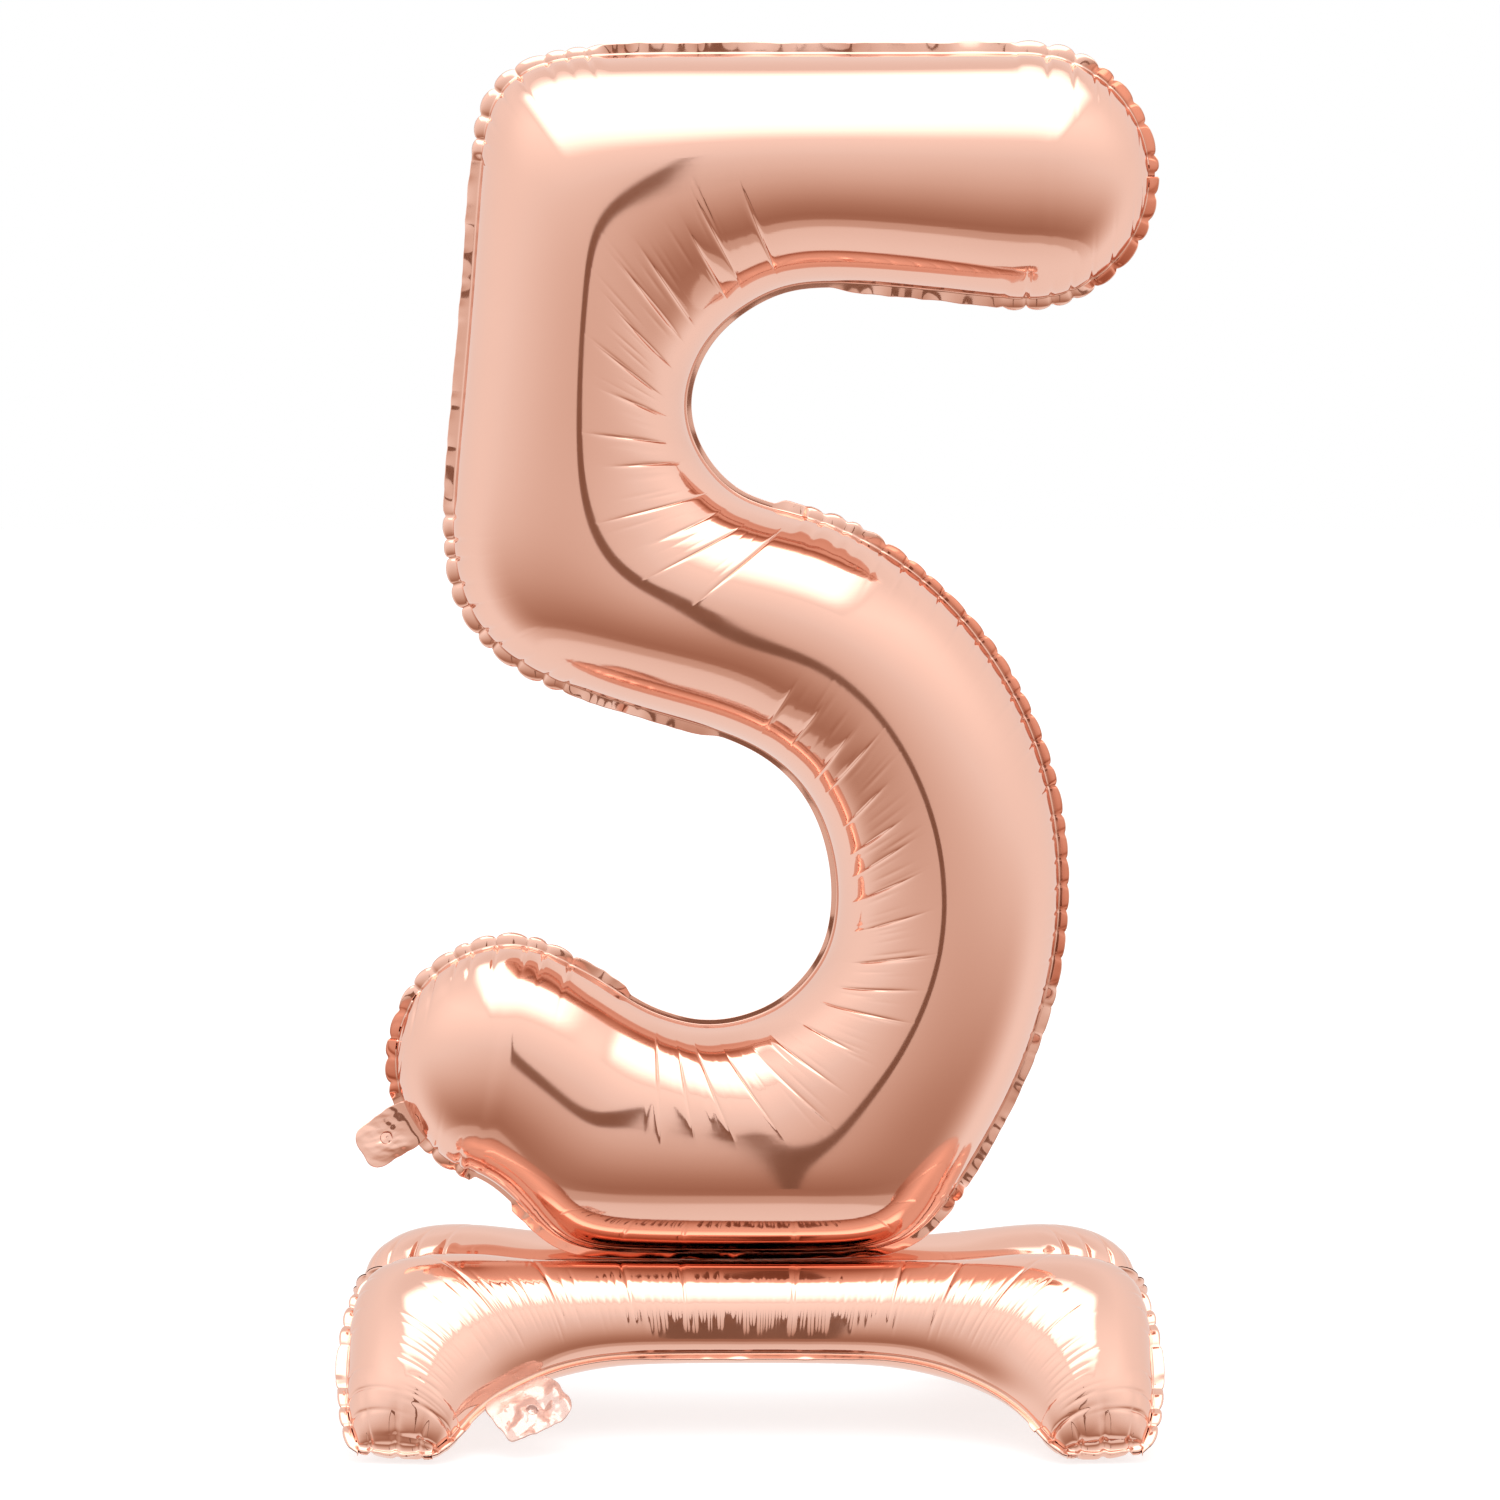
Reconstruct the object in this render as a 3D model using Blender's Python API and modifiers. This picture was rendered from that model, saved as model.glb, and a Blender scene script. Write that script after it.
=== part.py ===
"""Foil number balloon: a figure 5 of two heat-sealed foil sheets, standing on two air-filled legs.

Metres, +Z up. The front of the figure looks along -Y, and the feet stand on the plane Z = 0.
The figure is one body. Each leg hinges on the weld along the bottom of the figure, and each
filling tab hinges on the seam that it grows out of.
"""

import math

import bmesh
import bpy
from mathutils import Euler, Vector

MM = 0.001

# Sheets: drawn thicker than real film, so that each one is a sound solid.
SHEET = 0.5 * MM
GAP = 0.3 * MM
FIN = 6 * MM
FILM_INSET = 9 * MM

# The weld that the legs hinge on, and how far each leg leans out from straight down.
WELD_Z = 88.5 * MM
LEG_LEAN = math.radians(52.7)

# Bulge of each sheet as a share of half the tube's width, and its limit in metres.
NUMBER_BULGE = 1.06
NUMBER_BULGE_MOST = 68 * MM
LEG_OUTER_BULGE = 1.04
LEG_INNER_BULGE = 0.98
LEG_OUTER_MOST = 42 * MM
LEG_INNER_MOST = 40 * MM
# The bulge falls away over the last ribs at each end of a tube, and feet stay plumper.
NUMBER_TAPER = (0.0, 0.72, 0.93)
LEG_TAPER = (0.0, 1.05, 1.3, 1.2, 1.05)

# Ribs across the figure's stroke, in mm as (x, z): seam on the outer side, seam on the inner side.
NUMBER_RIBS = (
    ((211, 712), (211, 664)),
    ((197, 739), (197, 633)),
    ((168, 750), (168, 620)),
    ((112, 751), (112, 623)),
    ((52, 751), (64, 628)),
    ((-8, 751), (24, 629)),
    ((-62, 751), (0, 618)),
    ((-110, 749), (-18, 604)),
    ((-140, 731), (-29, 588)),
    ((-146, 690), (-35, 570)),
    ((-151, 618), (-35, 553)),
    ((-158, 545), (-29, 536)),
    ((-163, 495), (-18, 521)),
    ((-158, 458), (-5, 511)),
    ((-139, 429), (9, 506)),
    ((-103, 410), (20, 503)),
    ((-60, 396), (32, 500)),
    ((-22, 386), (47, 495)),
    ((6, 375), (70, 484)),
    ((29, 356), (100, 463)),
    ((43, 330), (132, 427)),
    ((49, 298), (160, 375)),
    ((46, 268), (172, 310)),
    ((35, 248), (167, 248)),
    ((19, 232), (148, 190)),
    ((2, 224), (120, 140)),
    ((-14, 220), (92, 97)),
    ((-30, 220), (38, 95)),
    ((-42, 223), (-12, 95)),
    ((-54, 227), (-62, 95)),
    ((-67, 234), (-103, 97)),
    ((-84, 246), (-125, 118)),
    ((-107, 259), (-143, 133)),
    ((-133, 266), (-160, 145)),
    ((-158, 261), (-175, 156)),
    ((-178, 246), (-188, 171)),
    ((-190, 226), (-194, 196)),
)

# Ribs of half a leg, flat, in mm as (x, distance below the weld): outer seam, inner seam.
LEG_RIBS = (
    ((0, 11), (0, 67)),
    ((44, 11), (38, 67)),
    ((92, 11), (76, 68)),
    ((142, 10), (104, 75)),
    ((186, 9), (122, 85)),
    ((211, 18), (134, 93)),
    ((218, 42), (146, 102)),
    ((219, 72), (157, 113)),
    ((218, 100), (167, 124)),
    ((213, 121), (176, 132)),
    ((205, 133), (188, 136)),
)

# Filling tabs, in mm: (middle of the root), direction that the tab points in, width, length.
NUMBER_TAB_ROOT = (-182.3, 169)
NUMBER_TAB_WAY = (-0.85, -0.53)
LEG_TAB_ROOT = (-128.3, -91)
LEG_TAB_WAY = (0.55, -0.84)
TAB_WIDTH = 26 * MM
TAB_LENGTH = 30 * MM
LEG_TAB_WIDTH = 42 * MM
LEG_TAB_LENGTH = 27 * MM
TAB_START = 0.8 * MM
TAB_CORNER = 10 * MM
TAB_ROOT_CORNER = 1 * MM
FILL_HOLE_RADIUS = 3.2 * MM

# Self-closing valves: two strips of clear film that run from each tab's root into the tube.
FILM_WIDTH = 18 * MM
NUMBER_FILM_LENGTH = 70 * MM
LEG_FILM_LENGTH = 46 * MM

CORNER_STEPS = 4
HOLE_STEPS = 20

ROSE_GOLD = (0.86, 0.47, 0.36, 1.0)
CLEAR_FILM = (0.93, 0.86, 0.82, 1.0)


def clear_scene():
    for obj in list(bpy.data.objects):
        bpy.data.objects.remove(obj)


def make_material(name, color, metallic, roughness):
    material = bpy.data.materials.new(name)
    material.use_nodes = True
    shader = material.node_tree.nodes["Principled BSDF"]
    shader.inputs["Base Color"].default_value = color
    shader.inputs["Metallic"].default_value = metallic
    shader.inputs["Roughness"].default_value = roughness
    return material


def add_object(name, data, material, parent=None):
    obj = bpy.data.objects.new(name, data)
    BALLOON.objects.link(obj)
    obj.data.materials.append(material)
    obj.parent = parent
    return obj


def add_pivot(name, location, rotation=(0, 0, 0), parent=None):
    pivot = bpy.data.objects.new(name, None)
    BALLOON.objects.link(pivot)
    pivot.location = location
    pivot.rotation_euler = rotation
    pivot.parent = parent
    return pivot


def cage_rows(ribs, bulge, most, taper_steps):
    """Rows of points ((x, z), bulge) across the tube, with the fin outside the seam all round."""
    angles = (0, math.pi / 3, 2 * math.pi / 3, math.pi)
    rows = []
    for index, (outer, inner) in enumerate(ribs):
        from_end = min(index, len(ribs) - 1 - index)
        taper = taper_steps[from_end] if from_end < len(taper_steps) else 1
        half = (inner - outer).length / 2
        height = min(bulge * half, most) * taper
        away = (outer - inner).normalized() * FIN
        row = [(outer + away, 0)]
        for angle in angles:
            share = (1 - math.cos(angle)) / 2
            row.append((outer.lerp(inner, share), height * math.sin(angle)))
        row.append((inner - away, 0))
        rows.append(row)
    for end, beside in ((0, 1), (-1, -2)):
        way = ribs[end][0] + ribs[end][1] - ribs[beside][0] - ribs[beside][1]
        fin_row = [(point + way.normalized() * FIN, 0) for point, _ in rows[end]]
        rows.insert(0 if end == 0 else len(rows), fin_row)
    return rows


def make_panel(name, ribs, side, shape, parent=None):
    """One sheet of a tube. Side -1 bulges to the front, and +1 to the back."""
    rows = cage_rows(ribs, *shape)
    cage = bmesh.new()
    crease = cage.edges.layers.float.new("crease_edge")
    outside = side * (GAP / 2 + SHEET)
    grid = [[cage.verts.new((p.x, outside + side * h, p.y)) for p, h in row] for row in rows]
    for low, high in zip(grid, grid[1:]):
        for column in range(len(low) - 1):
            corners = [low[column], low[column + 1], high[column + 1], high[column]]
            cage.faces.new(corners if side > 0 else corners[::-1])
    last_row = len(grid) - 2
    last_column = len(grid[0]) - 2
    for row in range(1, last_row):
        for column in (1, last_column):
            cage.edges.get((grid[row][column], grid[row + 1][column]))[crease] = 1
    for column in range(1, last_column):
        for row in (1, last_row):
            cage.edges.get((grid[row][column], grid[row][column + 1]))[crease] = 1
    mesh = bpy.data.meshes.new(name)
    cage.to_mesh(mesh)
    cage.free()
    panel = add_object(name, mesh, FOIL, parent)
    smooth = panel.modifiers.new("smooth", "SUBSURF")
    smooth.levels = 1
    smooth.render_levels = 1
    apply_modifiers(panel)
    rest_on_floor(panel)
    wall = panel.modifiers.new("sheet", "SOLIDIFY")
    wall.thickness = SHEET
    wall.offset = -1
    wall.use_even_offset = True
    panel.data.shade_smooth()
    return panel


def apply_modifiers(obj):
    bpy.context.view_layer.update()
    graph = bpy.context.evaluated_depsgraph_get()
    mesh = bpy.data.meshes.new_from_object(obj.evaluated_get(graph))
    obj.modifiers.clear()
    obj.data = mesh


def rest_on_floor(obj):
    """Presses flat whatever reaches below the floor, as the air-filled feet do."""
    world = obj.matrix_world
    back = world.inverted()
    for vertex in obj.data.vertices:
        place = world @ vertex.co
        if place.z < 0:
            place.z = 0
            vertex.co = back @ place


def add_loop(curve, points):
    spline = curve.splines.new("POLY")
    spline.points.add(len(points) - 1)
    for target, (x, y) in zip(spline.points, points):
        target.co = (x, y, 0, 1)
    spline.use_cyclic_u = True


def rounded_corner(center, radius, start):
    steps = range(CORNER_STEPS + 1)
    angles = [start + math.pi / 2 * step / CORNER_STEPS for step in steps]
    return [(center[0] + radius * math.cos(a), center[1] + radius * math.sin(a)) for a in angles]


def make_strip(name, width, length, corners, place, material, parent=None, hole_at=None):
    """A flat strip that starts at its local X axis and runs along its local Y.

    corners holds the radius at the root and the radius at the far end.
    """
    curve = bpy.data.curves.new(name, "CURVE")
    curve.dimensions = "2D"
    curve.fill_mode = "BOTH"
    curve.extrude = SHEET / 2
    root, tip = corners
    half = width / 2
    outline = rounded_corner((half - root, root), root, -math.pi / 2)
    outline += rounded_corner((half - tip, length - tip), tip, 0)
    outline += rounded_corner((tip - half, length - tip), tip, math.pi / 2)
    outline += rounded_corner((root - half, root), root, math.pi)
    add_loop(curve, outline)
    if hole_at:
        turns = [2 * math.pi * step / HOLE_STEPS for step in range(HOLE_STEPS)]
        hole = [(FILL_HOLE_RADIUS * math.cos(t), hole_at + FILL_HOLE_RADIUS * math.sin(t)) for t in turns]
        add_loop(curve, hole)
    strip = add_object(name, curve, material, parent)
    strip.location = place
    return strip


def layer_offset(side):
    """Distance from the middle plane to the middle of a sheet that lies on it."""
    return side * (GAP + SHEET) / 2


def add_tab(name, root, way, size, parent, film_length):
    """A filling tab outside the seam, and the two valve films behind it inside the tube.

    root is a point on the seam, and the tab's hinge axis lies just outside the fin there.
    """
    width, length = size
    turn = math.atan2(way[1], way[0]) - math.pi / 2
    # Local X runs along the root, local Y away from the seam, and local Z to the front.
    flat = Euler((math.pi / 2, 0, 0)).to_matrix() @ Euler((0, 0, turn)).to_matrix()
    seam = Vector((root[0] * MM, 0, root[1] * MM))
    axis_place = seam + flat @ Vector((0, FIN + TAB_START / 2, 0))
    pivot = add_pivot(name + "_tab_pivot", axis_place, flat.to_euler(), parent)
    valve = add_pivot(name + "_valve_root", seam, flat.to_euler(), parent)
    for label, side in (("front", 1), ("rear", -1)):
        make_strip(
            f"{name}_tab_{label}_layer",
            width,
            length,
            (TAB_ROOT_CORNER, TAB_CORNER),
            (0, TAB_START / 2, layer_offset(side)),
            FOIL if name == "number" else FILM,
            pivot,
            hole_at=length * 0.5 if side > 0 else None,
        )
        film = make_strip(
            f"{name}_valve_{label}_film",
            FILM_WIDTH,
            film_length,
            (TAB_ROOT_CORNER, TAB_ROOT_CORNER),
            (0, -FILM_INSET, layer_offset(side)),
            FILM,
            valve,
        )
        film.rotation_euler = (0, 0, math.pi)


def make_number():
    ribs = [(Vector(outer) * MM, Vector(inner) * MM) for outer, inner in NUMBER_RIBS]
    shape = (NUMBER_BULGE, NUMBER_BULGE_MOST, NUMBER_TAPER)
    make_panel("number_front_panel", ribs, -1, shape)
    make_panel("number_rear_panel", ribs, 1, shape)
    size = (TAB_WIDTH, TAB_LENGTH)
    add_tab("number", NUMBER_TAB_ROOT, NUMBER_TAB_WAY, size, None, NUMBER_FILM_LENGTH)


def make_leg(name, turn):
    """A leg is drawn hanging straight down from the weld, then leans out about it."""
    pivot = add_pivot(name + "_pivot", (0, 0, WELD_Z), (-LEG_LEAN, 0, turn))
    half = [(Vector((a[0], -a[1])) * MM, Vector((b[0], -b[1])) * MM) for a, b in LEG_RIBS]
    flip = Vector((-1, 1))
    ribs = half[:0:-1] + [(a * flip, b * flip) for a, b in half]
    make_panel(name + "_outer_panel", ribs, -1, (LEG_OUTER_BULGE, LEG_OUTER_MOST, LEG_TAPER), pivot)
    make_panel(name + "_inner_panel", ribs, 1, (LEG_INNER_BULGE, LEG_INNER_MOST, LEG_TAPER), pivot)
    size = (LEG_TAB_WIDTH, LEG_TAB_LENGTH)
    add_tab(name, LEG_TAB_ROOT, LEG_TAB_WAY, size, pivot, LEG_FILM_LENGTH)


clear_scene()
BALLOON = bpy.data.collections.new("foil_number_balloon")
bpy.context.scene.collection.children.link(BALLOON)
FOIL = make_material("rose_gold_foil", ROSE_GOLD, 1.0, 0.12)
FILM = make_material("clear_valve_film", CLEAR_FILM, 0.0, 0.3)
make_number()
make_leg("front_leg", 0)
make_leg("rear_leg", math.pi)
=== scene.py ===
"""Looks of the foil number balloon: creased mirror foil, scalloped seams and crumpled filling tabs.

+Z is up. Plans of tubes and tabs are in mm, and become metres when a mesh is made. Each sheet is a
thin closed shell, lofted across ribs that join the two seams of its tube. A grid's rows run along
the tube and its columns run across, from the outer seam to the inner one.
"""

import math
from typing import NamedTuple

import bpy
import numpy as np
from mathutils import Matrix, Vector


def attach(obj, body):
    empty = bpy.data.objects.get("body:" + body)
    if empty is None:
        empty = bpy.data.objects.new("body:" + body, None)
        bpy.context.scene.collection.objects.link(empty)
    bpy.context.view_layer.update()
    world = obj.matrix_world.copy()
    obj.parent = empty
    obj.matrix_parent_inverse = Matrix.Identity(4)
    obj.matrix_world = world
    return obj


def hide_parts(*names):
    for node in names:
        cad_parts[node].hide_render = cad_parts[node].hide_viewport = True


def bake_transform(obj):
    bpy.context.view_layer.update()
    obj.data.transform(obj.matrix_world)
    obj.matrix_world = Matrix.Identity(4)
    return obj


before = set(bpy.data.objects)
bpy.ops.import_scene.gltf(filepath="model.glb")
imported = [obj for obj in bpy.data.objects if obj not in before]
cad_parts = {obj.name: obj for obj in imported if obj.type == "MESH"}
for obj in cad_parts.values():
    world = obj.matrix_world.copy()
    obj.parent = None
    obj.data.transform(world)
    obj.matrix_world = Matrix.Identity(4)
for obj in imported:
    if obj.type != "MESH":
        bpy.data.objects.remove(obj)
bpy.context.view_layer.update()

MM = 0.001

# Thickness of the film, and how far each sheet's outer face is from the middle plane of the seam.
FILM = 0.15 * MM
SEAM_OFFSET = 0.25 * MM

# The weld that both legs hinge on, and how far each leg leans out from straight down.
WELD_Z = 88.5 * MM
LEG_LEAN = math.radians(52.7)
# Inner sheets stay off an upright plane by this angle, and outer ones below a level plane by this one.
SWING_IN = math.radians(3.6)
UNDER_FIGURE = math.radians(11.5)
ROOM_SOFTNESS = 0.8 * MM
FLOOR_GAP = 0.2 * MM
FLOOR_SOFTNESS = 0.3 * MM

# Widths of the fin outside the seam, in mm: on flat stretches, on hollow bends, and on round bends,
# where it is puffed into lobes, at a lobe's middle and between two lobes.
FIN_FLAT = 6.0
FIN_HOLLOW = 3.0
FIN_LOBE = 6.6
FIN_CUSP = 3.4
# Lobes, in mm: length along the seam, how thick they puff, and how far forward a tucked one leans.
LOBE_PITCH = 13.5
LOBE_RISE = 2.5
TUCK_LEAN = 4.2
# How far a lobe and the pinch between two lobes run into the tube, in mm over the foil, and how much
# they lift it or press it in. The fin's ripple carries on a little way too.
LOBE_DEEP = 32
LOBE_LIFT = 1.2
PINCH_DEEP = 24
PINCH_PRESS = 2.2
RIPPLE_DEEP = 5
RIPPLE_LIFT = 0.12
# Roundness of the outline, in 1/mm, at which lobes and hollow fins start and are full.
LOBES_FROM, LOBES_FULL = 0.0028, 0.0048
HOLLOW_FROM, HOLLOW_FULL = 0.002, 0.006
# Where the points across a fin are, as shares of its width.
FIN_SHARES = np.array([0.18, 0.4, 0.6, 0.8, 0.93, 1.0])
# Columns across a sheet of the figure and of a leg, and spacing of their rows in mm.
NUMBER_COLUMNS = 40
NUMBER_ROWS = 3.0
LEG_COLUMNS = 46
LEG_ROWS = 0.85

# Ribs across the figure's stroke, in mm as (x, z): seam on the outer side, seam on the inner side.
NUMBER_RIBS = (
    ((112, 751), (112, 623)),
    ((52, 751), (64, 628)),
    ((-8, 751), (24, 629)),
    ((-62, 751), (0, 618)),
    ((-110, 749), (-18, 604)),
    ((-140, 731), (-29, 588)),
    ((-146, 690), (-35, 570)),
    ((-151, 618), (-35, 553)),
    ((-158, 545), (-29, 536)),
    ((-163, 495), (-18, 521)),
    ((-158, 458), (-5, 511)),
    ((-139, 429), (9, 506)),
    ((-103, 410), (20, 503)),
    ((-60, 396), (32, 500)),
    ((-22, 386), (47, 495)),
    ((6, 375), (70, 484)),
    ((29, 356), (100, 463)),
    ((43, 330), (132, 427)),
    ((49, 298), (160, 375)),
    ((46, 268), (172, 310)),
    ((35, 248), (167, 248)),
    ((19, 232), (148, 190)),
    ((2, 224), (120, 140)),
    ((-14, 220), (92, 95)),
    ((-30, 220), (38, 93)),
    ((-42, 223), (-12, 93)),
    ((-54, 227), (-62, 93)),
    ((-67, 234), (-103, 95)),
    ((-84, 246), (-125, 118)),
)
# Round ends of the stroke: centre, radius and the way that the end points.
BAR_END = ((150, 685), 66.4, (1, 0))
HOOK_END = ((-130, 200), 66.0, (-0.983, 0.183))
CAP_STEPS = 5
# Filling tabs, in mm: middle of the root, way that the tab points, width and length.
NUMBER_TAB_ROOT = (-182.3, 169)
NUMBER_TAB = (NUMBER_TAB_ROOT, (-0.85, -0.53), 26, 30)
LEG_TAB_ROOT = (-128.3, -91)
LEG_TAB = (LEG_TAB_ROOT, (0.55, -0.84), 42, 27)
# A tab's length is counted from this far past its root, and it also reaches back nearly to the root.
TAB_GAP = 6.4
TAB_TUCK = TAB_GAP - 0.6
# The front layer has a filling hole. The rear layer's is shut to a pinprick, so both are rings.
HOLE_RADIUS = 3.2
SHUT_HOLE = 0.12

# Ribs of half a leg, flat, in mm as (x, distance below the weld): outer seam, inner seam.
LEG_RIBS = (
    ((0, 8), (0, 67)),
    ((44, 8), (38, 67)),
    ((92, 8), (76, 68)),
    ((142, 8), (104, 75)),
    ((186, 9), (122, 85)),
    ((211, 18), (134, 93)),
    ((218, 42), (144, 102)),
    ((219, 72), (152, 112)),
    ((218, 99), (158, 122)),
    ((215, 119), (164, 130)),
    ((210, 132), (170, 135)),
)


# ---------------------------------------------------------------- camera, light and floor


# Lens and sensor in mm, place in metres, and tilt below level.
CAMERA_LENS = 132.5
CAMERA_SENSOR = 36
CAMERA_PLACE = (0, -3.0, 0.74)
CAMERA_TILT = math.radians(6.98)


def add_camera():
    data = bpy.data.cameras.new("camera")
    data.lens = CAMERA_LENS
    data.sensor_width = CAMERA_SENSOR
    camera = bpy.data.objects.new("camera", data)
    bpy.context.scene.collection.objects.link(camera)
    camera.location = CAMERA_PLACE
    camera.rotation_euler = (math.radians(90) - CAMERA_TILT, 0, 0)
    bpy.context.scene.camera = camera


class Nodes:
    """Short calls for building a node tree."""

    def __init__(self, tree):
        self.tree = tree

    def add(self, kind, **settings):
        node = self.tree.nodes.new(kind)
        for key, value in settings.items():
            setattr(node, key, value)
        return node

    def link(self, source, target):
        self.tree.links.new(source, target)

    def math(self, operation, first, second=0.0):
        node = self.add("ShaderNodeMath", operation=operation)
        for slot, value in zip(node.inputs, (first, second)):
            if isinstance(value, (int, float)):
                slot.default_value = value
            else:
                self.link(value, slot)
        return node.outputs[0]

    def smooth(self, value, low, high, out_low=0.0, out_high=1.0):
        node = self.add("ShaderNodeMapRange", interpolation_type="SMOOTHSTEP")
        self.link(value, node.inputs["Value"])
        ranges = {"From Min": low, "From Max": high, "To Min": out_low, "To Max": out_high}
        for name, number in ranges.items():
            node.inputs[name].default_value = number
        return node.outputs["Result"]

    def noise(self, place, scale, detail):
        node = self.add("ShaderNodeTexNoise")
        node.inputs["Scale"].default_value = scale
        node.inputs["Detail"].default_value = detail
        self.link(place, node.inputs["Vector"])
        return node.outputs["Fac"]

    def bump(self, height, strength, distance, shader):
        node = self.add("ShaderNodeBump")
        node.inputs["Strength"].default_value = strength
        node.inputs["Distance"].default_value = distance
        self.link(height, node.inputs["Height"])
        self.link(node.outputs[0], shader.inputs["Normal"])

    def curve(self, value, points):
        """A level that goes in straight pieces through (degrees of elevation, level) points.

        The value is the sine of the elevation, brought to 0 to 1.
        """
        node = self.add("ShaderNodeValToRGB")
        ramp = node.color_ramp
        ramp.interpolation = "LINEAR"
        while len(ramp.elements) < len(points):
            ramp.elements.new(0.5)
        for element, (degrees, level) in zip(ramp.elements, points):
            gray = level / LEVEL_SCALE
            element.position = (math.sin(math.radians(degrees)) + 1) / 2
            element.color = (gray, gray, gray, 1)
        self.link(value, node.inputs["Fac"])
        return self.math("MULTIPLY", node.outputs["Color"], LEVEL_SCALE)


# Brightness of the tent's walls by elevation, in front of the balloon and behind it. A color ramp
# holds levels up to 1, so they are divided by LEVEL_SCALE in it.
LEVEL_SCALE = 2.0
FRONT_LEVELS = (
    (-90, 1.0), (-69, 0.96), (-58, 0.92), (-56, 0.88), (-55, 0.7), (-48.5, 0.65), (-47.5, 0.43), (-42, 0.41),
    (-32, 0.5), (-21, 0.64), (-9, 0.78), (2, 0.88), (13, 0.96), (24, 1.08), (40, 1.25), (90, 1.1),
)
REAR_LEVELS = ((-90, 1.0), (-40, 0.97), (-10, 0.9), (10, 0.9), (40, 1.0), (60, 0.95), (90, 0.95))
# The rear walls give way to the front ones where a direction's y falls from the first of these to
# the second. All walls are brighter by SIDE_LEVEL straight out to the sides.
REAR_TO_FRONT = (0.35, -0.45)
SIDE_LEVEL = 0.14
# Dark parts of the studio are warm: green and blue fall off faster than red.
GREEN_FALL = 1.6
BLUE_FALL = 1.95
# The softbox overhead: its brightness, that of the tent round it, its edges and how wide each fades.
SOFTBOX_LEVEL = 2.6
TENT_LEVEL = 1.1
SOFTBOX_Z = 1.5
SOFTBOX_HALF = 0.88
SOFTBOX_FRONT = -1.62
SOFTBOX_BACK = 0.28
SOFTBOX_FADE = 0.2
SOFTBOX_FRONT_FADE = 0.9
# The dark stand behind the camera, whose reflection draws the ridge line: (height, half width) up it.
STAND_Y = -3.2
STAND_OUTLINE = ((-2.6, 0.06), (-0.3, 0.12), (0.45, 0.15), (1.0, 0.07), (1.45, 0.02), (1.7, 0.01))
STAND_COLOR = (0.24, 0.14, 0.1, 1)
FLOOR_HALF = 6
FLOOR_COLOR = (0.4, 0.4, 0.4, 1)
FLOOR_GLOW = 0.7
WHITE = (1, 1, 1, 1)


def add_world():
    """A bright tent with a darker stretch low in front, which the camera sees as plain white."""
    world = bpy.data.worlds.new("studio")
    world.use_nodes = True
    bpy.context.scene.world = world
    world.node_tree.nodes.clear()
    n = Nodes(world.node_tree)
    coordinates = n.add("ShaderNodeTexCoord")
    split = n.add("ShaderNodeSeparateXYZ")
    n.link(coordinates.outputs["Generated"], split.inputs[0])
    x, y, z = split.outputs
    height = n.math("MULTIPLY", n.math("ADD", z, 1.0), 0.5)
    front = n.curve(height, FRONT_LEVELS)
    rear = n.curve(height, REAR_LEVELS)
    ahead = n.smooth(y, *REAR_TO_FRONT)
    front = n.math("MULTIPLY", front, ahead)
    rear = n.math("MULTIPLY", rear, n.math("SUBTRACT", 1.0, ahead))
    walls = n.math("ADD", front, rear)
    walls = n.math("ADD", walls, n.math("MULTIPLY", n.math("MULTIPLY", x, x), SIDE_LEVEL))
    dim = n.math("MINIMUM", walls, 1.0)
    bright = n.math("MAXIMUM", walls, 1.0)
    path = n.add("ShaderNodeLightPath")
    color = n.add("ShaderNodeCombineColor")
    for index, fall in enumerate((1.0, GREEN_FALL, BLUE_FALL)):
        channel = n.math("MULTIPLY", n.math("POWER", dim, fall), bright)
        n.link(channel, color.inputs[index])
    # Only mirror reflections see the warm tint, so the floor stays neutral.
    tinted = n.add("ShaderNodeMix", data_type="RGBA")
    n.link(path.outputs["Is Glossy Ray"], tinted.inputs["Factor"])
    n.link(walls, tinted.inputs["A"])
    n.link(color.outputs[0], tinted.inputs["B"])
    seen = n.add("ShaderNodeMix", data_type="RGBA")
    n.link(path.outputs["Is Camera Ray"], seen.inputs["Factor"])
    n.link(tinted.outputs["Result"], seen.inputs["A"])
    seen.inputs["B"].default_value = WHITE
    background = n.add("ShaderNodeBackground")
    n.link(seen.outputs["Result"], background.inputs["Color"])
    output = n.add("ShaderNodeOutputWorld")
    n.link(background.outputs[0], output.inputs[0])


def softbox_material():
    """Bright in the middle and falling to TENT_LEVEL at its edges."""
    material = bpy.data.materials.new("softbox")
    material.use_nodes = True
    material.node_tree.nodes.clear()
    n = Nodes(material.node_tree)
    place = n.add("ShaderNodeNewGeometry").outputs["Position"]
    split = n.add("ShaderNodeSeparateXYZ")
    n.link(place, split.inputs[0])
    x, y, _ = split.outputs
    level = n.smooth(n.math("ABSOLUTE", x), SOFTBOX_HALF, SOFTBOX_HALF - SOFTBOX_FADE)
    level = n.math("MULTIPLY", level, n.smooth(y, SOFTBOX_FRONT, SOFTBOX_FRONT + SOFTBOX_FRONT_FADE))
    level = n.math("MULTIPLY", level, n.smooth(y, SOFTBOX_BACK, SOFTBOX_BACK - SOFTBOX_FADE))
    level = n.math("ADD", n.math("MULTIPLY", level, SOFTBOX_LEVEL - TENT_LEVEL), TENT_LEVEL)
    glow = n.add("ShaderNodeEmission")
    n.link(level, glow.inputs["Strength"])
    output = n.add("ShaderNodeOutputMaterial")
    n.link(glow.outputs[0], output.inputs[0])
    return material


def principled_material(name, **values):
    """A material and its shader, with these values on the sockets: base_color is "Base Color"."""
    material = bpy.data.materials.new(name)
    material.use_nodes = True
    shader = material.node_tree.nodes["Principled BSDF"]
    sockets = {socket.name.lower().replace(" ", "_"): socket for socket in shader.inputs}
    for key, value in values.items():
        sockets[key].default_value = value
    return material, shader


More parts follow.
